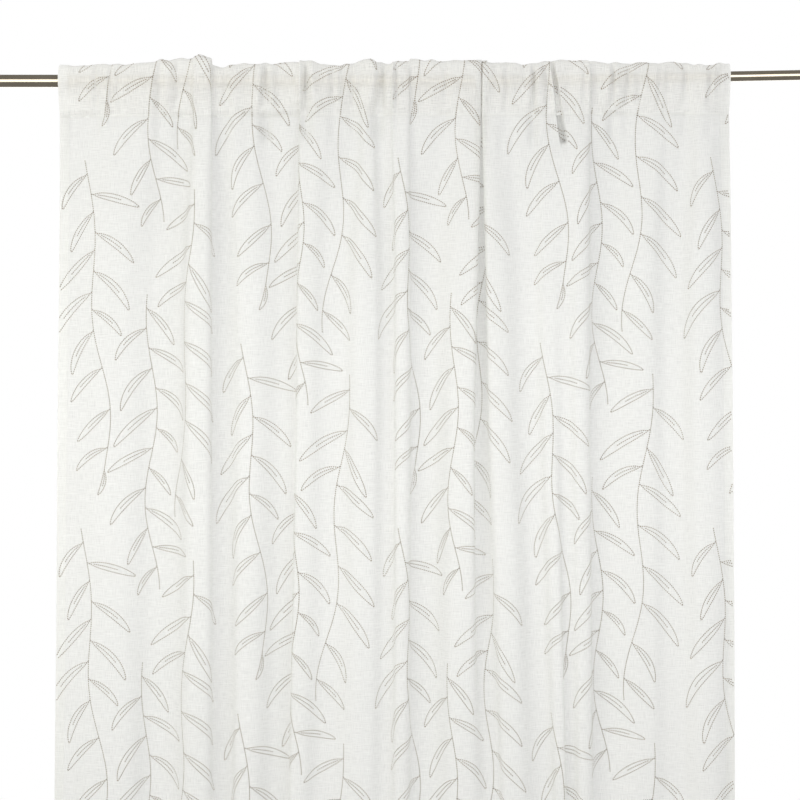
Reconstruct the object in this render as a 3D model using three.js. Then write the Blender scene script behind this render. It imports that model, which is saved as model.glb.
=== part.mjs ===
// Curtain panel hanging by its rod pocket from a telescopic rod, in millimetres.
// The origin is on the axis of the outer rod tube, +Z is up and -Y faces the room.
import * as THREE from 'three';
import { mergeVertices } from 'three/addons/utils/BufferGeometryUtils.js';

const { lerp, smoothstep, clamp, degToRad } = THREE.MathUtils;

// Driving sizes of the rod
const outerTube = { radius: 10, bore: 9.3, from: -700, mouth: 196 };
const innerTube = { radius: 8, bore: 7.3, inside: 106, end: 700 };
const tiltPivot = 151; // where the inner tube's axis crosses the outer tube's
const tilt = degToRad(1.1);
const endWall = 2;
const tubeSides = 32;

// Driving sizes of the cloth
const clothThickness = 1.2;
const pocketSlack = 1.6; // between the rod and the pocket
const gatherWaves = { crease: 0.25, rod: 0.55 }; // depth of the gathers there, against lower down
const crease = 30; // usual height of the upper edge above the rod's axis
const stitchLine = { plain: -54, left: -54.5, right: -51 };
const foot = -2475;

// Heights at which the places of the folds are given
const foldHeights = [stitchLine.plain, -560, -880, -1150, foot];
// Heights at which the cloth has a row of corners, below the stitch line and in the pocket
const sheetLevels = [-74, -104, -150, -215, -330, -560, -720, -880, -1150, -1700, foot];
const pocketLevels = [-34, -14, -2.7, 4.8, 17];

// The folds from left to right, one row for each flank between a fold's front and its back.
// flat: cloth in the flank. side: 1 runs to the back, -1 to the front. at: where the flank ends,
// at the five fold heights. gather: how much of it a small gather at the rod takes up.
// top: height of the upper edge over the rod where the flank ends. strips: steps across it.
const leftEdge = { at: [-536, -539, -541, -542, -547], top: 26 };
const flanks = [
  { flat: 103, side: -1, at: [-438, -442, -445, -446, -448], gather: 0.5, top: 22, strips: 5 },
  { flat: 76, side: 1, at: [-365, -368, -374, -379, -378], gather: -0.7, top: 34, strips: 5 },
  { flat: 77, side: -1, at: [-309, -310, -310, -312, -314], gather: 0.6, top: 41, strips: 6 },
  { flat: 52, side: 1, at: [-280, -280, -278, -278, -278], gather: 0, top: 30, strips: 7 },
  { flat: 50, side: -1, at: [-234, -237, -240, -242, -240], gather: -0.7, top: 28, strips: 5 },
  { flat: 70, side: 1, at: [-166, -170, -176, -181, -181], gather: 0.85, top: 30, strips: 5 },
  { flat: 42, side: -1, at: [-144, -149, -155, -160, -162], gather: 0.1, top: 33, strips: 7 },
  { flat: 47, side: 1, at: [-99, -104, -110, -117, -116], gather: -0.8, top: 25, strips: 4 },
  { flat: 72, side: -1, at: [-40, -42, -45, -50, -48], gather: 0.8, top: 34, strips: 5 },
  { flat: 34, side: 1, at: [-13, -13, -14, -18, -19], gather: 0.8, top: 26, strips: 4 },
  { flat: 36, side: -1, at: [10, 10, 10, 8, 6], gather: -0.4, top: 33, strips: 4 },
  { flat: 38, side: 1, at: [35, 35, 35, 35, 37], gather: 0.1, top: 34, strips: 7 },
  { flat: 92, side: -1, at: [125, 114, 112, 114, 115], gather: 0.8, top: 33, strips: 5 },
  { flat: 46, side: 1, at: [138, 133, 141, 154, 152], gather: 0, top: 33, strips: 7 },
  { flat: 46, side: -1, at: [152, 163, 176, 184, 183], gather: 0, top: 31, strips: 7 },
  { flat: 64, side: 1, at: [214, 222, 232, 242, 244], gather: 0.8, top: 26, strips: 5 },
  { flat: 29, side: -1, at: [242, 246, 256, 264, 264], gather: 0.3, top: 30, strips: 4 },
  { flat: 28, side: 1, at: [269, 272, 275, 280, 278], gather: -0.5, top: 34, strips: 4 },
  { flat: 25, side: -1, at: [293, 294, 298, 299, 299], gather: 0.4, top: 33, strips: 4 },
  { flat: 49, side: 1, at: [326, 326, 328, 330, 332], gather: 0, top: 30, strips: 7 },
  { flat: 75, side: -1, at: [398, 400, 402, 403, 402], gather: 0.85, top: 28, strips: 5 },
  { flat: 42, side: 1, at: [438, 440, 442, 443, 441], gather: -0.8, top: 31, strips: 4 },
  { flat: 61, side: -1, at: [493, 494, 498, 499, 499], gather: 0.7, top: 26, strips: 5 },
  { flat: 46, side: 1, at: [534, 538, 541, 542, 544], gather: 0.3, top: 30, strips: 4 },
];
const gatherDepth = 330; // the small gathers run out this far below the rod
const pressedDepth = 240; // the pocket presses the folds flatter down to here
const driftSpan = 170; // width of cloth over which the folds stay centred under the rod
const gatherSpan = 60; // width of cloth over which the pocket clears the rod evenly
const steepest = 3; // radians, the sharpest bend a fold can take
const planStep = 1; // cloth between two points of a line seen from above

const flankStarts = flanks.map((_, i) => flanks.slice(0, i).reduce((sum, row) => sum + row.flat, 0));
const clothWidth = flankStarts.at(-1) + flanks.at(-1).flat;

// A flank's end, or the left edge, at any height
function endAt(row, height) {
  const level = clamp(height, foot, stitchLine.plain);
  const i = Math.max(0, foldHeights.findIndex((lower) => level >= lower) - 1);
  const part = (foldHeights[i] - level) / (foldHeights[i] - foldHeights[i + 1]);
  return lerp(row.at[i], row.at[i + 1], part);
}

// How far the cloth has turned at a part of the flank, as a share of its bend
function turn(flank, height, part) {
  const small = Math.abs(flank.gather) * (1 - smoothstep(-height, 0, gatherDepth));
  const fold = flank.side * Math.sin(Math.PI * part) ** 2;
  const gather = Math.sign(flank.gather) * Math.sin(2 * Math.PI * part);
  return (1 - small) * fold + small * gather;
}

// The bend with which a flank just spans the given width
function bendFor(flank, height, width) {
  const middles = Array.from({ length: flank.flat / planStep }, (_, i) => (i + 0.5) * planStep);
  const turns = middles.map((along) => turn(flank, height, along / flank.flat));
  let [low, high] = [0, steepest];
  while (high - low > 1e-6) {
    const bend = (low + high) / 2;
    const spanned = turns.reduce((sum, share) => sum + Math.cos(bend * share) * planStep, 0);
    if (spanned > width) low = bend;
    else high = bend;
  }
  return low;
}

const mean = (values) => values.reduce((sum, value) => sum + value, 0) / values.length;
function around(values, span, pick) {
  return values.map((_, i) => pick(values.slice(Math.max(0, i - span), i + span + 1)));
}

// The cloth's line seen from above at one height, its slow drift off the rod taken out
function planLine(height) {
  let [x, y] = [endAt(leftEdge, height), 0];
  let from = x;
  const line = [[x, y]];
  for (const flank of flanks) {
    const to = endAt(flank, height);
    const bend = bendFor(flank, height, to - from);
    for (let along = planStep / 2; along < flank.flat; along += planStep) {
      const heading = bend * turn(flank, height, along / flank.flat);
      x += Math.cos(heading) * planStep;
      y += Math.sin(heading) * planStep;
      line.push([x, y]);
    }
    from = to;
  }
  const ys = line.map((point) => point[1]);
  const drift = around(around(ys, driftSpan / planStep, mean), driftSpan / 2 / planStep, mean);
  return line.map((point, i) => ({ x: point[0], y: point[1] - drift[i] }));
}

const planLines = new Map();
function onPlan(along, height) {
  if (!planLines.has(height)) planLines.set(height, planLine(height));
  const line = planLines.get(height);
  const at = clamp(along / planStep, 0, line.length - 1.001);
  const [a, b] = [line[Math.floor(at)], line[Math.floor(at) + 1]];
  return { x: lerp(a.x, b.x, at % 1), y: lerp(a.y, b.y, at % 1) };
}

// The furthest that the gathers at the rod reach to the back and to the front, all along the cloth
const rodYs = planLine(0).map((point) => point.y * gatherWaves.rod);
const evened = (pick) => around(around(rodYs, gatherSpan, pick), gatherSpan / 2, mean);
const furthestBack = evened((values) => Math.max(...values));
const furthestFront = evened((values) => Math.min(...values));

// The rod's axis height and its radius at x
function rodAt(x) {
  const past = smoothstep(x, outerTube.mouth + 4, outerTube.mouth + 44);
  const z = Math.max(0, x - tiltPivot) * Math.tan(tilt);
  return { z, radius: lerp(outerTube.radius, innerTube.radius, past) };
}

function topAt(along) {
  const i = Math.max(0, flankStarts.findLastIndex((start) => start <= along));
  const from = i > 0 ? flanks[i - 1].top : leftEdge.top;
  return lerp(from, flanks[i].top, smoothstep(along - flankStarts[i], 0, flanks[i].flat));
}

// Half the width of the pocket: round the rod, and straight from there to crease and stitch line
function halfGap(height, top, stitch, radius) {
  const straight = (edge) => Math.abs(edge - height) * (radius / Math.sqrt(edge ** 2 - radius ** 2));
  if (height >= top || height <= stitch) return 0;
  if (height > radius ** 2 / top) return straight(top);
  if (height < radius ** 2 / stitch) return straight(stitch);
  return Math.sqrt(radius ** 2 - height ** 2);
}
const reach = (radius) => radius + pocketSlack + clothThickness / 2;

// Middle of the cloth; side is -1 in front of the rod, 1 behind it and 0 where the two meet.
// level is a height in the plain section, whose crease, rod and stitch line are level.
function clothMiddle(along, level, side) {
  const plan = onPlan(along, Math.min(level, 0));
  const up = level / crease;
  const waves = up > 0
    ? lerp(gatherWaves.rod, gatherWaves.crease, Math.min(up, 1))
    : lerp(gatherWaves.rod, 1, smoothstep(-level, 0, pressedDepth));
  const [x, y] = [plan.x, plan.y * waves];
  if (level < stitchLine.plain) return { x, y, z: level };
  const rod = rodAt(x);
  const top = topAt(along);
  const stitch = lerp(stitchLine.left, stitchLine.right, along / clothWidth);
  const z = up > 0 ? rod.z + (top - rod.z) * up : lerp(rod.z, stitch, level / stitchLine.plain);
  const radius = reach(rod.radius);
  const opened = halfGap(z - rod.z, top - rod.z, stitch - rod.z, radius) / radius;
  const i = Math.round(clamp(along, 0, clothWidth) / planStep);
  const front = -radius - furthestBack[i];
  const back = radius - furthestFront[i];
  const out = side === 0 ? (front + back) / 2 : side < 0 ? front : back;
  return { x, y: y + opened * out, z };
}

// A corner of the cloth, off its middle by an offset square to the cloth
function clothCorner(along, level, side, offset) {
  const { x, y, z } = clothMiddle(along, level, side);
  const before = clothMiddle(along - planStep, level, side);
  const after = clothMiddle(along + planStep, level, side);
  const run = new THREE.Vector2(after.x - before.x, after.y - before.y).normalize();
  return [x - run.y * offset, y + run.x * offset, z];
}

// The plain section across the rod: a sheet that parts at the stitch line and meets in the crease
const plainGap = (level) => halfGap(level, crease, stitchLine.plain, reach(outerTube.radius));
function plainSection() {
  const half = clothThickness / 2;
  const corner = (across, level) => new THREE.Vector2(across, level);
  const levels = [...pocketLevels].reverse().concat(stitchLine.plain, sheetLevels);
  const outside = levels.map((level) => corner(plainGap(level) + half, level));
  const inside = pocketLevels.map((level) => corner(plainGap(level) - half, level));
  const mirrored = (corners) => corners.map(({ x, y }) => corner(-x, y)).reverse();
  const meet = (edge) => edge * (1 - (half / reach(outerTube.radius)));
  const shape = new THREE.Shape([...mirrored(outside), corner(0, crease + half), ...outside]);
  const hollow = [corner(0, meet(stitchLine.plain)), ...inside, corner(0, meet(crease))];
  shape.holes.push(new THREE.Path([...hollow, ...mirrored(inside)]));
  return shape;
}

function curtainCloth() {
  const edges = flanks.flatMap(({ flat, strips }, i) =>
    Array.from({ length: strips }, (_, step) => flankStarts[i] + (flat * step) / strips));
  edges.push(clothWidth);
  const strips = edges.length - 1;
  const geometry = new THREE.ExtrudeGeometry(plainSection(), {
    depth: strips,
    steps: strips,
    bevelEnabled: false,
  });
  geometry.deleteAttribute('normal');
  geometry.deleteAttribute('uv');
  const corners = geometry.getAttribute('position');
  for (let i = 0; i < corners.count; i++) {
    const [across, level] = [corners.getX(i), corners.getY(i)];
    const inPocket = level > stitchLine.plain;
    const side = inPocket ? Math.sign(across) : 0;
    const offset = across - side * plainGap(level);
    const along = edges[Math.round(corners.getZ(i))];
    corners.setXYZ(i, ...clothCorner(along, level, side, offset));
  }
  return new THREE.Mesh(mergeVertices(geometry), clothMaterial);
}

// A tube along +X, turned from its half section, with one end closed
function rodTube(halfSection) {
  const points = halfSection.map(([along, radius]) => new THREE.Vector2(radius, along));
  const geometry = new THREE.LatheGeometry(points, tubeSides);
  geometry.rotateZ(-Math.PI / 2);
  return new THREE.Mesh(geometry, steelMaterial);
}

const clothMaterial = new THREE.MeshStandardMaterial({
  color: 0xf0f1ec,
  roughness: 0.95,
  metalness: 0,
  side: THREE.DoubleSide,
});
const steelMaterial = new THREE.MeshStandardMaterial({
  color: 0xa8a499,
  roughness: 0.3,
  metalness: 1,
});

const cloth = curtainCloth();
cloth.name = 'curtain_panel';

const outerRod = rodTube([
  [outerTube.from, 0],
  [outerTube.from, outerTube.radius],
  [outerTube.mouth, outerTube.radius],
  [outerTube.mouth, outerTube.bore],
  [outerTube.from + endWall, outerTube.bore],
  [outerTube.from + endWall, 0],
]);
outerRod.name = 'outer_rod_tube';

const innerRod = rodTube([
  [innerTube.end - endWall - tiltPivot, 0],
  [innerTube.end - endWall - tiltPivot, innerTube.bore],
  [innerTube.inside - tiltPivot, innerTube.bore],
  [innerTube.inside - tiltPivot, innerTube.radius],
  [innerTube.end - tiltPivot, innerTube.radius],
  [innerTube.end - tiltPivot, 0],
]);
innerRod.name = 'inner_rod_tube';
innerRod.position.x = tiltPivot;
innerRod.rotation.y = -tilt;

const curtain = new THREE.Group();
curtain.add(cloth, outerRod, innerRod);

export default curtain;
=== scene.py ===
import math

import bmesh
import bpy
import numpy as np
from mathutils import Matrix, Vector


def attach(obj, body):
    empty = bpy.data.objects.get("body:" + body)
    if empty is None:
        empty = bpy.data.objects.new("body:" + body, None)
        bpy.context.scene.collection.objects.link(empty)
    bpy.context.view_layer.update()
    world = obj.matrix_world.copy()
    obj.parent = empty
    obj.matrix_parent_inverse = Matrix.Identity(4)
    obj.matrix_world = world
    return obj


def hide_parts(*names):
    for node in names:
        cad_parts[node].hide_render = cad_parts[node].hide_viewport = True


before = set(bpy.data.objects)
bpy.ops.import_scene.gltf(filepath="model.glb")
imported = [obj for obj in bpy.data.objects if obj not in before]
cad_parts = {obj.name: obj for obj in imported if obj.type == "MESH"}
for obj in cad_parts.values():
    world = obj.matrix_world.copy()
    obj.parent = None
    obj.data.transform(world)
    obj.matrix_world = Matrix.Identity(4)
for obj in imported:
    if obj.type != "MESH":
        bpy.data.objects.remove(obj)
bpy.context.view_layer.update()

mm = 0.001

# Curtain panel gathered on a telescopic rod. Sizes are in mm until a mesh is made of them.
# x runs along the rod, -y is towards the room, z is up from the rod's axis.


# What every stage uses

def inMetres(place):
    return Vector(place) * mm


def addObject(name, data):
    added = bpy.data.objects.new(name, data)
    bpy.context.collection.objects.link(added)
    return added


def meshOf(name, made):      # ends a bmesh
    mesh = bpy.data.meshes.new(name)
    made.to_mesh(mesh)
    made.free()
    return mesh


def color(red, green, blue):
    return (red, green, blue, 1)


class Value:      # a node's output that can be reckoned with
    def __init__(self, finish, socket):
        self.finish, self.socket = finish, socket

    def worked(self, operation, other=0.0):
        return self.finish.reckoned(operation, self, other)

    def __add__(self, other):
        return self.finish.reckoned("ADD", self, other)

    def __radd__(self, other):
        return self.finish.reckoned("ADD", other, self)

    def __sub__(self, other):
        return self.finish.reckoned("SUBTRACT", self, other)

    def __rsub__(self, other):
        return self.finish.reckoned("SUBTRACT", other, self)

    def __mul__(self, other):
        return self.finish.reckoned("MULTIPLY", self, other)

    def __rmul__(self, other):
        return self.finish.reckoned("MULTIPLY", other, self)


class Finish:      # the nodes of a material, or of the world
    def __init__(self, owner):
        owner.use_nodes = True
        self.owner, self.tree = owner, owner.node_tree
        self.tree.nodes.clear()

    def node(self, kind, settings=None, inputs=None, out=0):
        made = self.tree.nodes.new("ShaderNode" + kind)
        for name, value in (settings or {}).items():
            setattr(made, name, value)
        for name, value in (inputs or {}).items():
            if isinstance(value, Value):
                self.tree.links.new(value.socket, made.inputs[name])
            else:
                made.inputs[name].default_value = value
        return Value(self, made.outputs[out]) if made.outputs else None

    def reckoned(self, operation, a, b):
        return self.node("Math", {"operation": operation}, {0: a, 1: b})

    def noise(self, coordinates, scale, detail=2.0, stretch=(1, 1, 1)):
        placed = self.node("Mapping", {}, {"Vector": coordinates, "Scale": stretch})
        return self.node("TexNoise", {}, {"Vector": placed, "Scale": scale, "Detail": detail}, "Fac")

    def ranged(self, value, low, high, toLow=0.0, toHigh=1.0):
        return self.node("MapRange", {}, {"Value": value, "From Min": low, "From Max": high,
                                          "To Min": toLow, "To Max": toHigh})

    def mixed(self, part, a, b):
        return self.node("Mix", {"data_type": "RGBA"}, {0: part, 6: a, 7: b}, 2)

    def layered(self, part, a, b):
        return self.node("MixShader", {}, {0: part, 1: a, 2: b})

    def shown(self, surface):
        self.node("OutputMaterial", {}, {"Surface": surface})
        return self.owner


# Studio

studio = {
    "viewCentre": (6.4, 0, -510), "distance": 3020,
    "lens": 85, "sensor": 36,
    "background": 1.0,          # what the camera sees past the curtain
    "behindCloth": 0.80,        # the wall it sees through the curtain, in its shade
    "ambientFront": 0.575,      # the room's own light
    "ambientBack": 0.62,
    "fromAbove": 0.75,          # how much more of it comes from above
    "gleam": 2.2,               # a long lamp that the rod mirrors
    "gleamAround": -0.04,       # where it is in the mirror, and where its edge starts and ends
    "gleamHalf": (0.30, 0.41),
    "gleamTone": 0.20,          # the dim room beside it
    "floorSize": 4200, "floorBelowHem": 12,
    "lamps": {  # place, what it points at, width, height, watts, colour
        "frontLamp": ((0, -900, -560), (0, 0, -560), 2200, 150, 5.6, (1.0, 1.0, 0.995)),
        "keyLamp": ((-1750, -1600, 300), (0, 0, -450), 1500, 1500, 19, (1.0, 0.99, 0.92)),
        "fillLamp": ((1500, -1900, 300), (0, 0, -450), 1500, 1500, 7.5, (0.88, 0.90, 1.0)),
    },
}


def addCamera():
    camera = addObject("camera", bpy.data.cameras.new("camera"))
    x, y, z = studio["viewCentre"]
    camera.location = inMetres((x, y - studio["distance"], z))
    camera.rotation_euler = (math.pi / 2, 0, 0)
    camera.data.lens = studio["lens"]
    camera.data.sensor_width = studio["sensor"]
    camera.data.clip_end = 60      # metres
    bpy.context.scene.camera = camera


def addLamps():
    for name, (place, target, width, height, watts, tint) in studio["lamps"].items():
        lamp = bpy.data.lights.new(name, "AREA")
        lamp.shape = "RECTANGLE"
        lamp.size, lamp.size_y = width * mm, height * mm
        lamp.energy = watts
        lamp.color = tint
        holder = addObject(name, lamp)
        holder.location = inMetres(place)
        holder.rotation_euler = (inMetres(target) - inMetres(place)).to_track_quat("-Z", "Y").to_euler()
        holder.visible_camera = False
        holder.visible_glossy = False      # the rod mirrors the world's long lamp alone


def addWorld():
    room = Finish(bpy.data.worlds.new("studioWorld"))
    place = room.node("TexCoord", out="Generated")
    y, z = (room.node("SeparateXYZ", {}, {0: place}, axis) for axis in "YZ")
    around = room.ranged(y, -0.5, 0.5, studio["ambientFront"], studio["ambientBack"])
    above = room.ranged(z, -1, 1, 1 - studio["fromAbove"], 1 + studio["fromAbove"])
    off = (z - studio["gleamAround"]).worked("ABSOLUTE")
    gleam = room.ranged(off, *studio["gleamHalf"], studio["gleam"], studio["gleamTone"])
    layers = room.node("LightPath", out="Transparent Depth")
    wall = room.ranged(layers, 0, 1, studio["background"], studio["behindCloth"])
    tones = (around * above, gleam, wall)
    felt, mirrored, seen = (room.node("Background", {}, {"Color": tone}) for tone in tones)
    light = room.layered(room.node("LightPath", out="Is Glossy Ray"), felt, mirrored)
    light = room.layered(room.node("LightPath", out="Is Camera Ray"), light, seen)
    room.node("OutputWorld", {}, {"Surface": light})
    bpy.context.scene.world = room.owner
    bpy.context.scene.view_settings.view_transform = "Standard"


addCamera()
addLamps()
addWorld()
print("studio ready")


# How the cloth hangs

cloth = {
    "stitchPlain": -54, "stitchLeft": -54.5, "stitchRight": -51,
    "crease": 30,
    "foot": -2475,
    "pocketRun": 84,          # cloth from the stitch line up to the crease
    "turnedEdge": 3,          # pocket edge below its stitch line, at the back
    "pocketSlack": 1.6, "clearOfRod": 1.0, "halfThickness": 0.6,
    "thinnerRod": (4, 44),    # past the mouth, where the pocket draws in to the inner tube
    "backOff": 0.7, "backOffAt": 1.15,      # how far the back layer stands off, and from where in the pocket
    "gatherDepth": 330,
    "pressed": (30, 240),     # under the rod, where its hold on the folds fades
    "wavesAtCrease": 0.2, "wavesAtRod": 0.42,
    "deepestAtRod": 8, "deepestFold": 60,
    "driftSpan": 170, "gatherSpan": 60,
    "steepest": 3, "halvings": 24,
    "planLines": 110, "closerAtRod": 1.7,
}
rod = {
    "outerRadius": 10, "outerBore": 9.3, "outerFrom": -700, "mouth": 196,
    "innerRadius": 8, "innerBore": 7.3, "innerInside": 106, "innerEnd": 700,
    "pivot": 151, "tilt": math.radians(1.1),
    "edgeRound": 0.8, "faceTo": 1.2, "straightFrom": 3,      # at a closed end
    "endWall": 2, "boreCorner": 0.5, "cutEdge": 1,
    "around": 96,
}
foldHeights = [cloth["stitchPlain"], -560, -880, -1150, cloth["foot"]]
# One row for each flank between a fold's front and its back, from the left: cloth in it, 1 where it
# runs to the back, its end at the five heights, share of a small gather at the rod, height of the top
foldRows = [
    # flat side ends                gather top
    (103, -1, -438, -442, -445, -446, -448, 0.50, 27),
    (76, 1, -365, -368, -374, -379, -378, -0.70, 34),
    (77, -1, -309, -310, -310, -312, -314, 0.60, 41),
    (52, 1, -280, -280, -278, -278, -278, 0.00, 24),
    (50, -1, -234, -237, -240, -242, -240, -0.70, 28),
    (70, 1, -166, -170, -176, -181, -181, 0.85, 30),
    (42, -1, -144, -149, -155, -160, -162, 0.10, 33),
    (47, 1, -99, -104, -110, -117, -116, -0.80, 25),
    (72, -1, -40, -42, -45, -50, -48, 0.80, 34),
    (34, 1, -13, -13, -14, -18, -19, 0.80, 26),
    (36, -1, 10, 10, 10, 8, 6, -0.40, 33),
    (38, 1, 35, 35, 35, 35, 37, 0.10, 34),
    (94, -1, 127, 114, 112, 114, 115, 0.80, 33),
    (44, 1, 136, 133, 141, 154, 152, 0.00, 33),
    (45, -1, 147, 162, 176, 184, 183, 0.00, 31),
    (65, 1, 211.5, 221, 232, 242, 244, 0.80, 26),
    (29, -1, 240, 246, 256, 264, 264, 0.30, 30),
    (28, 1, 269, 272, 275, 280, 278, -0.50, 34),
    (25, -1, 293, 294, 298, 299, 299, 0.40, 33),
    (49, 1, 326, 326, 328, 330, 332, 0.00, 30),
    (75, -1, 398, 400, 402, 403, 402, 0.85, 28),
    (42, 1, 438, 440, 442, 443, 441, -0.80, 31),
    (62, -1, 493, 494, 498, 499, 499, 0.70, 26),
    (45, 1, 534, 538, 541, 542, 544, 0.30, 30),
]
leftEdge = {"at": (-538, -543, -545, -547, -550), "top": 26}

flats, sides, *ends, gathers, tops = (np.array(column) for column in zip(*foldRows))
foldEdges = np.vstack([leftEdge["at"], np.array(ends).T])
flankStart = np.concatenate([[0], np.cumsum(flats)[:-1]])
clothWidth = int(flats.sum())
stepMiddles = np.arange(clothWidth) + 0.5      # the plan is followed in steps of 1 mm of cloth
flankOf = np.searchsorted(flankStart, stepMiddles, side="right") - 1
partOf = (stepMiddles - flankStart[flankOf]) / flats[flankOf]


def smooth(value, low, high):
    part = np.clip((value - low) / (high - low), 0, 1)
    return part * part * (3 - 2 * part)


def blend(a, b, part):
    return a + (b - a) * part


def runningMean(values, span):
    window = np.ones(2 * span + 1)
    return np.convolve(values, window, "same") / np.convolve(np.ones_like(values), window, "same")


def runningPick(values, span, pick, outside):
    padded = np.concatenate([np.full(span, outside), values, np.full(span, outside)])
    return pick(np.lib.stride_tricks.sliding_window_view(padded, 2 * span + 1), axis=1)


# The cloth seen from above at one height. Each flank bends until its cloth fits between its two ends
def planLine(height):
    at = [np.interp(-height, np.negative(foldHeights), edge) for edge in foldEdges]
    widths = np.diff(at)
    share = np.abs(gathers) * (1 - smooth(-height, 0, cloth["gatherDepth"]))
    turn = ((1 - share) * sides)[flankOf] * np.sin(np.pi * partOf) ** 2
    turn += (share * np.sign(gathers))[flankOf] * np.sin(2 * np.pi * partOf)
    low, high = np.zeros(len(flats)), np.full(len(flats), float(cloth["steepest"]))
    for _ in range(cloth["halvings"]):
        bend = (low + high) / 2
        spanned = np.add.reduceat(np.cos(bend[flankOf] * turn), flankStart)
        low, high = np.where(spanned > widths, bend, low), np.where(spanned > widths, high, bend)
    bearing = low[flankOf] * turn
    x = at[0] + np.concatenate([[0], np.cumsum(np.cos(bearing))])
    y = np.concatenate([[0], np.cumsum(np.sin(bearing))])
    drift = runningMean(runningMean(y, cloth["driftSpan"]), cloth["driftSpan"] // 2)
    return x, y - drift


planHeights = cloth["foot"] * np.linspace(0, 1, cloth["planLines"]) ** cloth["closerAtRod"]
planX, planY = (np.array(lines) for lines in zip(*(planLine(height) for height in planHeights)))


def limited(y, level):      # the rod keeps the waves of the pocket shallow
    most = blend(cloth["deepestAtRod"], cloth["deepestFold"], smooth(-level, *cloth["pressed"]))
    return most * np.tanh(y / most)


def furthest(pick, outside):      # how far the gathers reach, evened out along the rod
    rodY = limited(planY[0] * cloth["wavesAtRod"], 0)
    return runningMean(runningPick(rodY, cloth["gatherSpan"], pick, outside), cloth["gatherSpan"] // 2)


furthestBack, furthestFront = furthest(np.max, -1e9), furthest(np.min, 1e9)
print("folds worked out:", clothWidth, "mm of cloth in", len(foldRows), "flanks")


def onPlan(along, height):
    row = np.clip(np.interp(-height, -planHeights, np.arange(len(planHeights))), 0, len(planHeights) - 1.001)
    column = np.clip(along, 0, clothWidth - 0.001)
    r, c = row.astype(int), column.astype(int)
    dr, dc = row - r, column - c
    return [blend(blend(plan[r, c], plan[r, c + 1], dc), blend(plan[r + 1, c], plan[r + 1, c + 1], dc), dr)
            for plan in (planX, planY)]


wrinkle = {  # depth, its size along and up the cloth, seed
    "fine": (1.5, 9, 70, 3),
    "middling": (0.5, 16, 240, 5),
    "broad": (2.2, 46, 420, 8),
    "topEdge": (2.2, 12, 60, 11),
    "nearHeading": (-190, -40),      # where the fine ones grow and the broad ones fade
    "broadFades": 0.5,
    "onRod": (5, 30), "rodStills": 0.6,
    "covered": (1500, 2700),         # more than the flat cloth
}


def unevenness(along, up, depth, cellAlong, cellUp, seed):
    alongRoom, upRoom = wrinkle["covered"]
    cells = (int(alongRoom / cellAlong) + 4, int(upRoom / cellUp) + 4)
    lattice = np.random.RandomState(seed).uniform(-1, 1, cells)
    a, b = along / cellAlong + 1, up / cellUp + 1
    i, j = a.astype(int), b.astype(int)
    da, db = smooth(a - i, 0, 1), smooth(b - j, 0, 1)
    return depth * blend(blend(lattice[i, j], lattice[i + 1, j], da),
                         blend(lattice[i, j + 1], lattice[i + 1, j + 1], da), db)


# Short creases that the gathering leaves in the heading: place on the rod, depth, width, reach down, lean
headingCreases = [
    (-478, 0.5, 4, 40, 0), (-454, 0.5, 5, 40, 0), (-376, 0.4, 8, 70, 0.05), (-349, 0.3, 6, 90, 0),
    (-270, 0.4, 7, 50, 0), (-208, 1.6, 7, 50, 0), (-144, 1.5, 8, 50, 0), (-101, 0.6, 7, 50, 0),
    (-70, 0.4, 5, 40, 0), (-22, 1.5, 9, 50, 0.1), (0, 0.7, 5, 50, 0), (80, 0.3, 6, 50, 0),
    (176, 0.4, 5, 50, 0), (219, 1.0, 5, 60, 0), (240, 0.6, 7, 50, -0.1), (300, 0.4, 6, 50, 0),
    (346, 1.0, 5, 50, 0), (370, 0.6, 5, 40, 0), (420, 0.3, 6, 60, 0), (462, 0.5, 6, 40, 0),
    (500, 0.4, 6, 50, 0),
]
heading = {
    "narrow": 0.75, "widens": 0.4,      # a crease's width at the rod, and what it gains down to the stitches
    "puff": 2.5, "ridge": 9, "ridgeBroad": 2.4, "groove": 15,
    "puffFoot": (-8, 22), "puffTop": (-20, 8),      # round the stitch line and the crease
    "below": 8, "belowFrom": (35, 75),
    "roundness": 0.5,
}


def creased(x, z, broad=1.0):
    stitch = cloth["stitchPlain"]
    widened = heading["narrow"] + heading["widens"] * smooth(z, 0, stitch)
    depth = np.zeros_like(x)
    for place, deep, wide, reach, lean in headingCreases:
        aside = (x - place - lean * z) / (broad * wide * widened)
        depth += deep * np.exp(-aside ** 2) * smooth(z, stitch - reach, stitch - reach / 2)
    return depth


# A deeper tuck that the gathering pinched in, from its top to its foot
tuck = {
    "top": (248, 33), "foot": (268, -98), "wide": (3, 9), "deep": 27,
    "flare": (-1, 2), "topFade": (-12, 0), "footFade": (-4, 2),
    "across": 990, "spread": 24, "finer": 2.2,      # where the mesh is finer for it
}


def tucked(x, z):
    (xTop, zTop), (xFoot, zFoot) = tuck["top"], tuck["foot"]
    part = np.clip((zTop - z) / (zTop - zFoot), 0, 1)
    half = blend(*tuck["wide"], part) / 2
    aside = np.abs(x - blend(xTop, xFoot, part))
    inside = 1 - smooth(aside, *(half + more for more in tuck["flare"]))
    belowTop = 1 - smooth(z, *(zTop + more for more in tuck["topFade"]))
    return tuck["deep"] * inside * belowTop * smooth(z, *(zFoot + more for more in tuck["footFade"]))


def puffed(x, z, crease, stitch):      # the pocket stands off the rod, most beside its creases
    free = smooth(z, *(stitch + more for more in heading["puffFoot"]))
    free = free * (1 - smooth(z, *(crease + more for more in heading["puffTop"])))
    ridges = heading["ridge"] * creased(x, z, heading["ridgeBroad"])
    return free * (heading["puff"] + ridges - heading["groove"] * creased(x, z))


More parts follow.
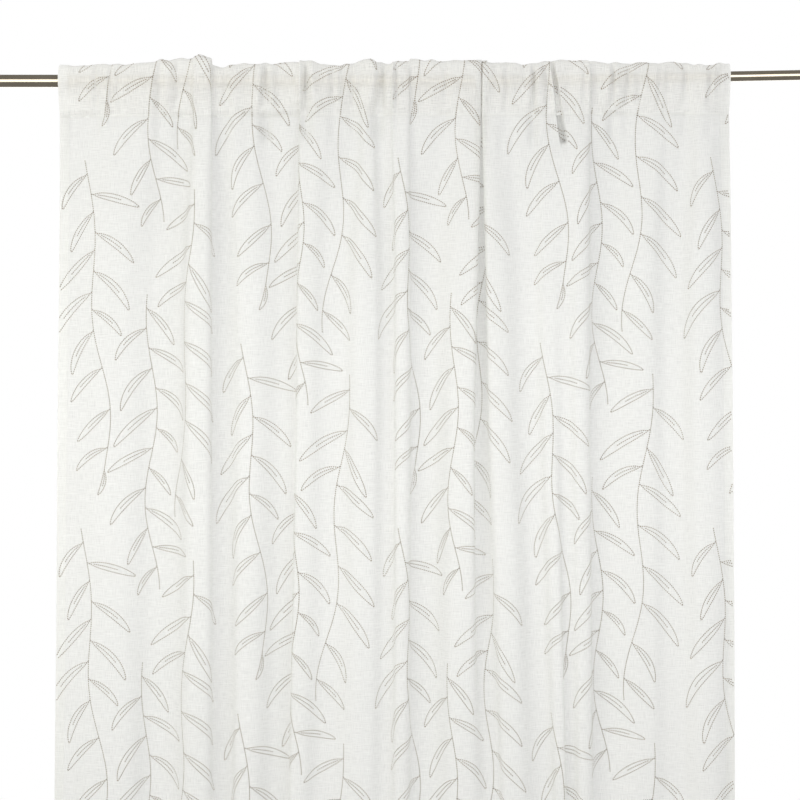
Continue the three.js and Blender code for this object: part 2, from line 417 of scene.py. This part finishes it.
def wrinkles(along, up, x, z):
    near = smooth(z, *wrinkle["nearHeading"])
    held = 1 - wrinkle["rodStills"] * smooth(z, *wrinkle["onRod"])
    depth = near * held * unevenness(along, up, *wrinkle["fine"])
    depth += unevenness(along, up, *wrinkle["middling"])
    depth += (1 - wrinkle["broadFades"] * near) * unevenness(along, up, *wrinkle["broad"])
    return depth + heading["below"] * creased(x, z) * smooth(-z, *heading["belowFrom"])


def rodHeightAndRadius(x):
    past = smooth(x, *(rod["mouth"] + more for more in cloth["thinnerRod"]))
    height = np.maximum(0, x - rod["pivot"]) * math.tan(rod["tilt"])
    return height, blend(rod["outerRadius"], rod["innerRadius"], past)


# Half the room in a pocket drawn tight round the rod: straight to its crease and its stitches, else round
def halfGap(height, crease, stitch, radius):
    toCrease = (crease - height) * radius / np.sqrt(crease ** 2 - radius ** 2)
    toStitch = (height - stitch) * radius / np.sqrt(stitch ** 2 - radius ** 2)
    around = np.sqrt(np.maximum(0, radius ** 2 - height ** 2))
    gap = np.where(height < radius ** 2 / stitch, toStitch, around)
    gap = np.where(height > radius ** 2 / crease, toCrease, gap)
    return np.maximum(0, gap)


def topAt(along):
    flank = np.clip(np.searchsorted(flankStart, along, side="right") - 1, 0, len(flats) - 1)
    before = np.concatenate([[leftEdge["top"]], tops[:-1]])[flank]
    edge = blend(before, tops[flank], smooth(along - flankStart[flank], 0, flats[flank]))
    return edge + unevenness(along, along * 0, *wrinkle["topEdge"])


def wavesLeft(level):      # share of a fold's depth that the crease and the rod leave
    overRod = blend(cloth["wavesAtRod"], cloth["wavesAtCrease"], np.clip(level / cloth["crease"], 0, 1))
    underRod = blend(cloth["wavesAtRod"], 1, smooth(-level, 0, cloth["pressed"][1]))
    return np.where(level > 0, overRod, underRod)


stitchUp = cloth["stitchPlain"] - cloth["foot"]     # up is measured along the cloth from the foot
pocketEnd = stitchUp + 2 * cloth["pocketRun"]
clothEnd = pocketEnd + cloth["turnedEdge"]


# Where a point of the flat cloth hangs: along it from the left edge, and up it from the foot,
# over the crease and down the back of the pocket
def hang(along, up):
    along, up = np.broadcast_arrays(np.asarray(along, float), np.asarray(up, float))
    climbed = (up - stitchUp) / cloth["pocketRun"]      # 0 at the stitches, 1 at the crease
    inPocket, inFront = climbed > 0, climbed < 1
    raised = np.clip(1 - np.abs(1 - climbed), 0, 1)
    level = np.where(inPocket, blend(cloth["stitchPlain"], cloth["crease"], raised), cloth["foot"] + up)
    x, y = onPlan(along, np.minimum(level, 0))
    y = limited(y * wavesLeft(level), level)

    axis, thick = rodHeightAndRadius(x)
    crease = topAt(along)
    stitch = blend(cloth["stitchLeft"], cloth["stitchRight"], along / clothWidth)
    zBody = blend(cloth["foot"], stitch, up / stitchUp)
    zPocket = np.where(level > 0, blend(axis, crease, level / cloth["crease"]),
                       blend(axis, stitch, level / cloth["stitchPlain"]))
    z = np.where(inPocket, zPocket, zBody) - np.maximum(0, up - pocketEnd)

    radius = thick + cloth["pocketSlack"] + cloth["halfThickness"]
    opened = halfGap(zPocket - axis, crease - axis, stitch - axis, radius) / radius
    opened = np.where(zPocket > axis, opened ** heading["roundness"], opened)
    nearest = np.clip(np.round(along), 0, clothWidth).astype(int)
    out = np.where(inFront, -radius - furthestBack[nearest], radius - furthestFront[nearest])
    behind = cloth["backOff"] * smooth(climbed, 1, cloth["backOffAt"])
    puff = puffed(x, z - axis, crease - axis, stitch - axis) * np.where(inFront, -1, 1)
    y = y + np.where(inPocket, opened * out + behind + puff, 0) + wrinkles(along, up, x, z)
    y = y + np.where(inFront, tucked(x, z), 0)

    clear = halfGap(z - axis, crease - axis, stitch - axis, thick + cloth["clearOfRod"])
    y = np.where(inPocket & inFront, np.minimum(y, -clear), y)
    y = np.where(inFront, y, np.maximum(y, clear))
    return np.stack([x, y, z], axis=-1)


def facing(along, up, step=1.5):
    across = hang(np.minimum(along + step, clothWidth), up) - hang(np.maximum(along - step, 0), up)
    upward = hang(along, up + step) - hang(along, up - step)
    square = np.cross(across, upward)
    return square / np.maximum(1e-9, np.linalg.norm(square, axis=-1, keepdims=True))


# Cloth pieces

panel = {"columns": 404, "bodyRows": 150, "upperRows": 44, "pocketRows": 40, "upperFrom": 2160, "marks": 4000}
hems = {
    "side": 15, "foot": 80, "behind": 0.55,
    "sideColumns": 5, "sideRows": 260, "footRows": 8,
    "inside": 0.4, "fromFoot": 0.5, "fromPocketEnd": 1,      # clear of the cloth's own edges
}


def sheetOf(name, alongs, ups, behind=0):
    made = bmesh.new()
    bmesh.ops.create_grid(made, x_segments=len(alongs) - 1, y_segments=len(ups) - 1, size=1)
    mesh = meshOf(name, made)
    corners = np.empty(len(mesh.vertices) * 3)
    mesh.vertices.foreach_get("co", corners)
    share = (corners.reshape(-1, 3) + 1) / 2      # the grid runs from -1 to 1
    along, up = (np.asarray(marks, float)[np.round(share[:, k] * (len(marks) - 1)).astype(int)]
                 for k, marks in enumerate((alongs, ups)))
    places = hang(along, up)
    if behind:
        places = places - behind * facing(along, up)
    mesh.vertices.foreach_set("co", (places * mm).ravel())
    loops = np.empty(len(mesh.loops), dtype=int)
    mesh.loops.foreach_get("vertex_index", loops)
    flatPlace = mesh.uv_layers.new(name="flatCloth")      # metres on the cut cloth
    flatPlace.data.foreach_set("uv", (np.column_stack([along, up]) * mm)[loops].ravel())
    mesh.shade_smooth()
    mesh.update()
    return addObject(name, mesh)


def clothPieces():
    even = np.linspace(0, clothWidth, panel["marks"])
    closeness = np.cumsum(1 + tuck["finer"] * np.exp(-((even - tuck["across"]) / tuck["spread"]) ** 2))
    closeness = (closeness - closeness[0]) / (closeness[-1] - closeness[0])
    alongs = np.interp(np.linspace(0, 1, panel["columns"] + 1), closeness, even)
    ups = np.concatenate([
        np.linspace(0, panel["upperFrom"], panel["bodyRows"]),
        np.linspace(panel["upperFrom"], stitchUp, panel["upperRows"])[1:],
        np.linspace(stitchUp, pocketEnd, panel["pocketRows"] + 1)[1:],
        [clothEnd]])
    sideAlongs = np.linspace(hems["inside"], hems["side"], hems["sideColumns"])
    sideUps = np.linspace(hems["fromFoot"], pocketEnd - hems["fromPocketEnd"], hems["sideRows"])
    footUps = np.linspace(hems["fromFoot"], hems["foot"], hems["footRows"])
    return (sheetOf("curtainCloth", alongs, ups),
            sheetOf("sideHemLeft", sideAlongs, sideUps, hems["behind"]),
            sheetOf("sideHemRight", clothWidth - sideAlongs[::-1], sideUps, hems["behind"]),
            sheetOf("footHem", alongs[1:-1], footUps, hems["behind"]))


curtainCloth, *hemPieces = clothPieces()
print("cloth made:", len(curtainCloth.data.polygons), "faces")


# Stitches: each is a thin spindle of thread that lies in the cloth, so both faces show it

stitchRoom = 1.0      # no stitch is nearer to the cloth's edge


def spindle():
    made = bmesh.new()
    bmesh.ops.create_uvsphere(made, u_segments=4, v_segments=2, radius=1)
    made.verts.index_update()
    corners = np.array([corner.co[:] for corner in made.verts])
    facets = np.array([[corner.index for corner in face.verts] for face in made.faces])
    made.free()
    return corners, facets


def lengthsAlong(run):
    return np.concatenate([[0], np.cumsum(np.linalg.norm(np.diff(run, axis=0), axis=1))])


def pointsAt(marks, lengths, run):
    return np.column_stack([np.interp(marks, lengths, run[:, k]) for k in (0, 1)])


def threadPiece(name, runs, stitch):
    heads, tails = [], []
    for run in runs:
        lengths = lengthsAlong(run)
        count = max(2, int(lengths[-1] / stitch["pitch"]))
        spots = pointsAt(np.linspace(0, lengths[-1], count + 1), lengths, run)
        heads.append(spots[:-1])
        tails.append(spots[1:])
    heads, tails = np.concatenate(heads), np.concatenate(tails)
    both = np.hstack([heads, tails])
    most = [clothWidth - stitchRoom, clothEnd - stitchRoom] * 2
    inside = np.all((both > stitchRoom) & (both < most), axis=1)
    heads, tails = heads[inside], tails[inside]
    share = stitch["gap"] / stitch["pitch"] / 2
    heads, tails = blend(heads, tails, share), blend(tails, heads, share)
    start, end = hang(*heads.T), hang(*tails.T)
    out = facing(*((heads + tails) / 2).T)
    half = (end - start) / 2
    way = half / np.maximum(1e-9, np.linalg.norm(half, axis=1, keepdims=True))
    axes = np.stack([np.cross(out, way) * stitch["width"] / 2, out * stitch["thick"], half], axis=1)
    shape, facets = spindle()
    corners = (start + end)[:, None] / 2 + shape @ axes
    faces = facets + len(shape) * np.arange(len(heads))[:, None, None]
    mesh = bpy.data.meshes.new(name)
    mesh.from_pydata((corners.reshape(-1, 3) * mm).tolist(), [], faces.reshape(-1, 3).tolist())
    mesh.shade_smooth()
    mesh.update()
    print(name, "stitches:", len(heads))
    return addObject(name, mesh)


# Embroidery: trailing twigs drawn in one thread, set in half drops

twigs = {
    "across": 306, "down": 590,      # the repeat
    "stitch": {"pitch": 3.4, "width": 2.1, "thick": 0.45, "gap": 0.35},
    "bands": 3,                      # pieces, from the foot up
    # start in the repeat, length, lean and swing in degrees, leaves, longest leaf
    "kinds": [
        ((40, 10), 500, 5, 14, 16, 96),
        ((146, 225), 480, 1, 16, 15, 90),
        ((244, 60), 530, -4, 15, 17, 100),
    ],
    "stemPoints": 90,
    "swings": 2, "swingStart": 0.6, "swingAtTop": 0.5,      # swings in a repeat, and how freely a twig begins
    "clear": 5, "cell": 2.5,         # room kept round each line, and the cells in which it is kept
    "apart": 1.2,                    # how closely a line is looked along for room
    "clearOfRoot": 9,
    "seed": 5,
    "hangsPast": 200,                # drawn on beyond the cloth, where it is cut off
}
leaf = {
    "points": 24, "stalk": 5,
    "slender": 0.16, "least": 2.3, "root": 0.7, "tip": 0.75,      # half width, and how it swells and narrows
    "bends": (0.15, 0.9), "bendsFrom": 0.35, "vein": (2, 15),
    "first": 0.05,      # how far down the stem it grows
    "shorter": 0.62, "longestFrom": 0.12, "longestOver": 0.9, "varied": (0.88, 1.1),
    "shrinks": (1, 0.88, 0.76, 0.62, 0.5, 0.4), "spreads": (44, 34, 54, 26, 66),      # tried for room
    "veinFrom": 0.45,      # a leaf shrunk further has no vein
}


def curveFrom(start, bearings, step):
    turned = np.column_stack([np.sin(bearings), -np.cos(bearings)]) * step
    return np.vstack([start, np.asarray(start) + np.cumsum(turned, axis=0)])


def leafLines(root, bearing, length, bow):
    part = np.linspace(0, 1, leaf["points"])
    stalk = curveFrom(root, np.array([bearing]), leaf["stalk"])
    step = (length - leaf["stalk"]) / (leaf["points"] - 1)
    spine = curveFrom(stalk[-1], bearing + bow * (part[1:] - leaf["bendsFrom"]), step)
    half = (leaf["slender"] * length + leaf["least"]) * part ** leaf["root"] * (1 - part) ** leaf["tip"]
    way = np.gradient(spine, axis=0)
    aside = np.column_stack([-way[:, 1], way[:, 0]]) / np.linalg.norm(way, axis=1, keepdims=True)
    edge = np.vstack([root, spine + aside * half[:, None], (spine - aside * half[:, None])[::-1], root])
    return edge, spine[slice(*leaf["vein"])]


def spotsOn(run):
    lengths = lengthsAlong(run)
    return pointsAt(np.arange(0, lengths[-1], twigs["apart"]), lengths, run)


def cellsUnder(spots):
    column = spots[:, 0] // twigs["across"]
    x = spots[:, 0] - column * twigs["across"]
    y = (spots[:, 1] - column * twigs["down"] / 2) % twigs["down"]
    return set(zip((x // twigs["cell"]).astype(int).tolist(), (y // twigs["cell"]).astype(int).tolist()))


def twigRepeat():
    taken, runs, stems = set(), [], []
    reach = np.arange(-twigs["clear"], twigs["clear"] + 0.1, twigs["cell"])
    around = [(dx, dy) for dx in reach for dy in reach if dx * dx + dy * dy <= twigs["clear"] ** 2 + 0.1]

    def put(run):
        runs.append(run)
        for aside in around:
            taken.update(cellsUnder(spotsOn(run) + aside))

    def free(run):
        spots = spotsOn(run)
        spots = spots[np.linalg.norm(spots - run[0], axis=1) > twigs["clearOfRoot"]]
        return taken.isdisjoint(cellsUnder(spots))

    last = twigs["stemPoints"] - 1
    for (x, y), length, lean, swing, leaves, longest in twigs["kinds"]:
        part = np.linspace(0, 1, twigs["stemPoints"])
        turns = 2 * twigs["swings"] * math.pi * (y + part * length) / twigs["down"] + twigs["swingStart"]
        freely = blend(twigs["swingAtTop"], 1, part)
        sway = np.radians(lean + swing * np.sin(turns) * freely)
        stem = curveFrom((x, -y), sway[1:], length / last)
        stems.append((stem, sway, leaves, longest))
        put(stem)
    random = np.random.RandomState(twigs["seed"])
    for n in range(max(leaves for *_, leaves, _ in stems)):      # the twigs grow their leaves in turn
        for k, (stem, sway, leaves, longest) in enumerate(stems):
            if n >= leaves:
                continue
            at = leaf["first"] + (1 - leaf["first"]) * n / (leaves - 1)
            i = int(at * last)
            side = 1 if (n + k) % 2 else -1
            swell = math.sin(math.pi * min(1, at * leaf["longestOver"] + leaf["longestFrom"]))
            full = longest * (leaf["shorter"] + (1 - leaf["shorter"]) * swell)
            full *= random.uniform(*leaf["varied"])
            bows = -side * random.uniform(*leaf["bends"], len(leaf["spreads"]))
            spreads = (0,) if n == leaves - 1 else leaf["spreads"]
            tries = [(full * shrink, spread, bow)
                     for shrink in leaf["shrinks"] for spread, bow in zip(spreads, bows)]
            for length, spread, bow in tries:
                edge, vein = leafLines(stem[i], sway[i] + side * math.radians(spread), length, bow)
                if free(edge):
                    put(edge)
                    if length > leaf["veinFrom"] * full:
                        runs.append(vein)
                    break
    return runs


def embroideryRuns():
    repeat = twigRepeat()
    columns, rows = int(clothWidth / twigs["across"]) + 2, int(clothEnd / twigs["down"]) + 3
    runs = []
    for column in range(-1, columns):
        for row in range(-columns, rows):
            shift = np.array([column * twigs["across"], row * twigs["down"] + column * twigs["down"] / 2])
            runs += [run + shift for run in repeat]
    return [run for run in runs if run[:, 1].max() > 0 and run[:, 1].min() < clothEnd]


def bandsOf(runs, count):
    middles = np.array([run[:, 1].mean() for run in runs])
    edges = np.linspace(-1, clothEnd + twigs["hangsPast"], count + 1)
    return [[run for run, at in zip(runs, middles) if low <= at < high]
            for low, high in zip(edges[:-1], edges[1:])]


embroidery = [threadPiece("embroidery." + str(k + 1), runs, twigs["stitch"])
              for k, runs in enumerate(bandsOf(embroideryRuns(), twigs["bands"]))]


# Seams

seams = {
    "stitch": {"pitch": 2.9, "width": 0.55, "thick": 0.32, "gap": 0.35},
    "fromSideHem": 1.5, "fromFootHem": 2,      # inside each hem's free edge
    "marks": 400,
}


def seamRuns():
    left, foot = hems["side"] - seams["fromSideHem"], hems["foot"] - seams["fromFootHem"]
    right = clothWidth - left
    lines = [((0, stitchUp), (clothWidth, stitchUp)), ((left, 0), (left, stitchUp)),
             ((right, 0), (right, stitchUp)), ((0, foot), (clothWidth, foot))]
    return [np.linspace(start, end, seams["marks"]) for start, end in lines]


seamThread = threadPiece("seamThread", seamRuns(), seams["stitch"])


# Rod

def inOrder(made):      # a spin leaves its edges and faces in another order each run
    made.verts.index_update()
    for parts in (made.edges, made.faces):
        ordered = sorted(parts, key=lambda part: sorted(corner.index for corner in part.verts))
        for place, part in enumerate(ordered):
            part.index = place
        parts.sort()


def tubePiece(name, section, place=0.0, tilt=0.0):
    made = bmesh.new()
    corners = [made.verts.new((along * mm, 0, radius * mm)) for along, radius in section]
    for a, b in zip(corners[:-1], corners[1:]):
        made.edges.new((a, b))
    bmesh.ops.spin(made, geom=made.verts[:] + made.edges[:], cent=(0, 0, 0), axis=(1, 0, 0),
                   angle=2 * math.pi, steps=rod["around"], use_merge=True)
    bmesh.ops.remove_doubles(made, verts=made.verts, dist=1e-6)
    bmesh.ops.recalc_face_normals(made, faces=made.faces)
    inOrder(made)
    made.transform(Matrix.Translation((place * mm, 0, 0)) @ Matrix.Rotation(-tilt, 4, "Y"))
    mesh = meshOf(name, made)
    mesh.shade_smooth()
    return addObject(name, mesh)


def closedEnd(at, radius, into):      # outside of an end: its face, a rounded edge, and the wall's start
    size = rod["edgeRound"]
    edge = [(at + into * size * (1 - math.cos(a)), radius - size * (1 - math.sin(a)))
            for a in np.linspace(0, math.pi / 2, 5)]
    return [(at, 0), (at, radius - rod["faceTo"])] + edge + [(at + into * rod["straightFrom"], radius)]


def boreEnd(at, bore, into):      # inside of the same end
    floor, corner = at + into * rod["endWall"], rod["boreCorner"]
    return [(floor + into * corner, bore), (floor, bore - corner), (floor, 0)]


def rodPieces():
    r, b = rod["outerRadius"], rod["outerBore"]
    left, mouth, straight = rod["outerFrom"], rod["mouth"], rod["mouth"] - rod["straightFrom"]
    lip = (r - b) / 2
    rolled = [(mouth - lip * (1 - math.sin(a)), b + lip + lip * math.cos(a))
              for a in np.linspace(0, math.pi, 7)]
    outer = closedEnd(left, r, 1) + [(straight, r)] + rolled + [(straight, b)] + boreEnd(left, b, 1)
    r, b = rod["innerRadius"], rod["innerBore"]
    inside, end = rod["innerInside"] - rod["pivot"], rod["innerEnd"] - rod["pivot"]
    cut = [(inside + rod["cutEdge"], r), (inside, r), (inside, b)]
    inner = closedEnd(end, r, -1) + cut + boreEnd(end, b, -1)
    return tubePiece("outerRod", outer), tubePiece("innerRod", inner, place=rod["pivot"], tilt=rod["tilt"])


outerRod, innerRod = rodPieces()
print("rod made")


# Finishes. Sizes are in metres here, and scales are per metre

linen = {
    "yarn": 0.0009, "yarnRuns": 60,      # metres from yarn to yarn, and how soon one changes along its run
    "slubRuns": 26, "slubs": 0.6, "cloudy": 9,
    "yarnEdge": (0.32, 0.68), "slubEdge": (0.55, 0.72), "cloudEdge": (0.35, 0.65),
    "toneShares": (0.55, 0.25, 0.2),      # of weave, slubs and clouds
    "gapShares": (0.6, 0.4),              # of the holes between yarns, and of all thin places
    "bright": color(0.895, 0.898, 0.874), "dull": color(0.845, 0.847, 0.818),
    "paintedPocketLight": color(0.965, 0.965, 0.945),      # painted light: a whiter pocket tint standing in for the light its second layer sends back
    "paintedPocketLightShare": 0.55,
    "seeThrough": 0.08, "gaps": 0.18, "slubShuts": 0.04,
    "pocketOpener": 0.45, "hemCloser": 0.3,
    "lightThrough": 0.36, "lightThroughDoubled": 0.19, "pocketDoubled": 0.85,
    "roughness": 0.92, "sheen": 0.15, "sheenRoughness": 0.5, "gloss": 0.2,
    "bump": 0.35, "relief": 0.0004, "slubRelief": 0.5,
}
thread = {
    "fibres": 260, "fibreEdge": (0.35, 0.65),
    "taupeTints": (color(0.25, 0.205, 0.15), color(0.35, 0.29, 0.215)),
    "whiteTints": (color(0.86, 0.86, 0.83), color(0.92, 0.92, 0.90)),
    "roughness": 0.55, "sheen": 0.25, "gloss": 0.35,
}
steel = {
    "brushing": (2600, 14, 14), "brushEdge": (0.3, 0.7),
    "wornPatches": 40, "wornEdge": (0.4, 0.7),
    "tints": (color(0.68, 0.60, 0.465), color(0.745, 0.665, 0.525)),
    "roughness": (0.12, 0.2), "bump": 0.12, "relief": 0.00005,
}
paleFloor = {"tints": (color(0.74, 0.735, 0.72), color(0.79, 0.785, 0.77)), "patches": 3, "roughness": 0.7}


def linenFinish(name):
    finish = Finish(bpy.data.materials.new(name))
    flatCloth = finish.node("UVMap", {"uv_map": "flatCloth"}, out="UV")
    along, up = (finish.node("SeparateXYZ", {}, {0: flatCloth}, k) for k in (0, 1))

    def past(value, line, over=mm):      # 1 beyond a line, which it reaches over a millimetre
        return finish.ranged(value, line, line + over)

    side, foot, width, seam = (size * mm for size in (hems["side"], hems["foot"], clothWidth, stitchUp))
    hemmed = (past(along, side, -mm) + past(along, width - side) + past(up, foot, -mm)
              + past(up, seam - cloth["turnedEdge"] * mm) * past(up, seam + mm, -mm)).worked("MINIMUM", 1)
    pocket = past(up, seam)
    doubled = (hemmed + pocket * linen["pocketDoubled"]).worked("MINIMUM", 1)

    yarns, runs = 1 / linen["yarn"], linen["yarnRuns"]
    warp = finish.ranged(finish.noise(flatCloth, 1, 1.0, (yarns, runs, 1)), *linen["yarnEdge"])
    weft = finish.ranged(finish.noise(flatCloth, 1, 1.0, (runs, yarns, 1)), *linen["yarnEdge"])
    slubs = finish.noise(flatCloth, 1, 1.0, (linen["slubRuns"], yarns * linen["slubs"], 1))
    slubs = finish.ranged(slubs, *linen["slubEdge"])
    cloudy = finish.ranged(finish.noise(flatCloth, linen["cloudy"], 3.0), *linen["cloudEdge"])
    weave = warp * 0.5 + weft * 0.5
    ofWeave, ofSlubs, ofClouds = linen["toneShares"]
    tone = weave * ofWeave + slubs * ofSlubs + cloudy * ofClouds
    tint = finish.mixed(tone, linen["dull"], linen["bright"])
    # painted light: the pocket, its back layer too, is mixed towards a whiter tint for the light sent back
    # between its two layers
    tint = finish.mixed(pocket * linen["paintedPocketLightShare"], tint, linen["paintedPocketLight"])

    ofHoles, ofThin = linen["gapShares"]
    openWeave = (1 - warp) * (1 - weft) * ofHoles + (1 - weave) * ofThin
    through = linen["seeThrough"] + openWeave * linen["gaps"] - slubs * linen["slubShuts"]
    through = through * (1 + pocket * linen["pocketOpener"] - hemmed * linen["hemCloser"])
    bump = finish.node("Bump", {}, {"Strength": linen["bump"], "Distance": linen["relief"],
                                    "Height": weave + slubs * linen["slubRelief"]}, "Normal")
    fibre = finish.node("BsdfPrincipled", {}, {
        "Base Color": tint, "Roughness": linen["roughness"], "Normal": bump,
        "Sheen Weight": linen["sheen"], "Sheen Roughness": linen["sheenRoughness"],
        "Specular IOR Level": linen["gloss"]})
    # the pocket's translucent colour is painted whiter as well, standing in for the same light
    dull, bright, paintedPocketTranslucent = (finish.node("BsdfTranslucent", {}, {"Color": linen[name], "Normal": bump})
                            for name in ("dull", "bright", "paintedPocketLight"))
    glow = finish.layered(pocket * linen["paintedPocketLightShare"], finish.layered(tone, dull, bright), paintedPocketTranslucent)
    soft = linen["lightThrough"] + doubled * (linen["lightThroughDoubled"] - linen["lightThrough"])
    clear = finish.node("BsdfTransparent")
    return finish.shown(finish.layered(through, finish.layered(soft, fibre, glow), clear))


def threadFinish(name, tints):
    finish = Finish(bpy.data.materials.new(name))
    place = finish.node("TexCoord", out="Object")
    shade = finish.ranged(finish.noise(place, thread["fibres"]), *thread["fibreEdge"])
    return finish.shown(finish.node("BsdfPrincipled", {}, {
        "Base Color": finish.mixed(shade, *tints), "Roughness": thread["roughness"],
        "Sheen Weight": thread["sheen"], "Specular IOR Level": thread["gloss"]}))


def steelFinish(name):
    finish = Finish(bpy.data.materials.new(name))
    place = finish.node("TexCoord", out="Object")
    brushed = finish.noise(place, 1, 3.0, steel["brushing"])
    worn = finish.ranged(finish.noise(place, steel["wornPatches"], 3.0), *steel["wornEdge"])
    bump = finish.node("Bump", {}, {"Strength": steel["bump"], "Distance": steel["relief"],
                                    "Height": brushed}, "Normal")
    return finish.shown(finish.node("BsdfPrincipled", {}, {
        "Base Color": finish.mixed(worn, *steel["tints"]), "Metallic": 1.0,
        "Roughness": finish.ranged(brushed, *steel["brushEdge"], *steel["roughness"]), "Normal": bump}))


def floorFinish(name):
    finish = Finish(bpy.data.materials.new(name))
    patches = finish.noise(finish.node("TexCoord", out="Object"), paleFloor["patches"], 3.0)
    return finish.shown(finish.node("BsdfPrincipled", {}, {
        "Base Color": finish.mixed(patches, *paleFloor["tints"]), "Roughness": paleFloor["roughness"]}))


linenMaterial = linenFinish("linen")
taupeThread = threadFinish("taupeThread", thread["taupeTints"])
whiteThread = threadFinish("whiteThread", thread["whiteTints"])
brushedSteel = steelFinish("brushedSteel")
print("finishes made")


# Joining it to the part

def addFloor():
    made = bmesh.new()
    bmesh.ops.create_grid(made, x_segments=4, y_segments=4, size=studio["floorSize"] * mm / 2)
    bmesh.ops.translate(made, verts=made.verts, vec=(0, 0, (cloth["foot"] - studio["floorBelowHem"]) * mm))
    floor = addObject("floor", meshOf("floor", made))
    floor.data.materials.append(floorFinish("paleFloor"))
    floor.visible_glossy = False      # the rod mirrors the dim room instead


def settle(piece, material):
    piece.data.materials.append(material)
    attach(piece, "root")


addFloor()
for piece in (curtainCloth, *hemPieces):
    settle(piece, linenMaterial)
for piece in embroidery:
    settle(piece, taupeThread)
settle(seamThread, whiteThread)
for piece, node in ((outerRod, "outer_rod_tube"), (innerRod, "inner_rod_tube")):
    settle(piece, brushedSteel)
    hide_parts(node)
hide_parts("curtain_panel")
